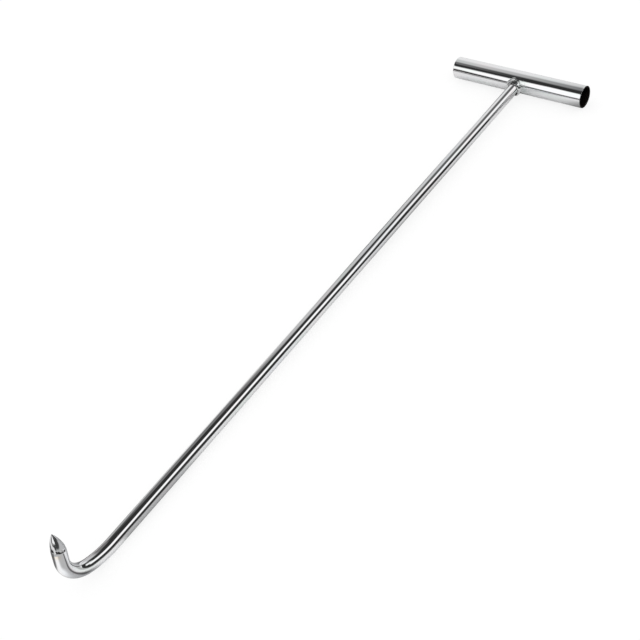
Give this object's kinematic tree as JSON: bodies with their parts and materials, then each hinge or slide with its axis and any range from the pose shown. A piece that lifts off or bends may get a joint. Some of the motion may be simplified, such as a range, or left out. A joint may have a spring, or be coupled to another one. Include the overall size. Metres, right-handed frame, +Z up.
{
  "type": "manhole cover lifter",
  "caption": "Hand tool for lifting manhole covers: a tubular T handle welded to a long round bar that ends in an upturned, pointed hook.",
  "frame": {"origin": "middle of the handle tube's bore, on the axis of the handle and of the bar", "axes": "+X along the handle, +Y from the hook to the handle, +Z up with the tool lying on a floor and the hook's point up"},
  "size_m": [0.153, 0.7041, 0.0691],
  "materials": {
    "handle_plating": "bright zinc plate on drawn tube",
    "bar_plating": "bright zinc plate on drawn bar",
    "weld_plating": "bright zinc plate over the as-welded bead"
  },
  "bodies": {
    "root": {"handle_tube": "handle_plating", "hook_bar": "bar_plating", "weld_bead": "weld_plating"}
  },
  "joints": []
}
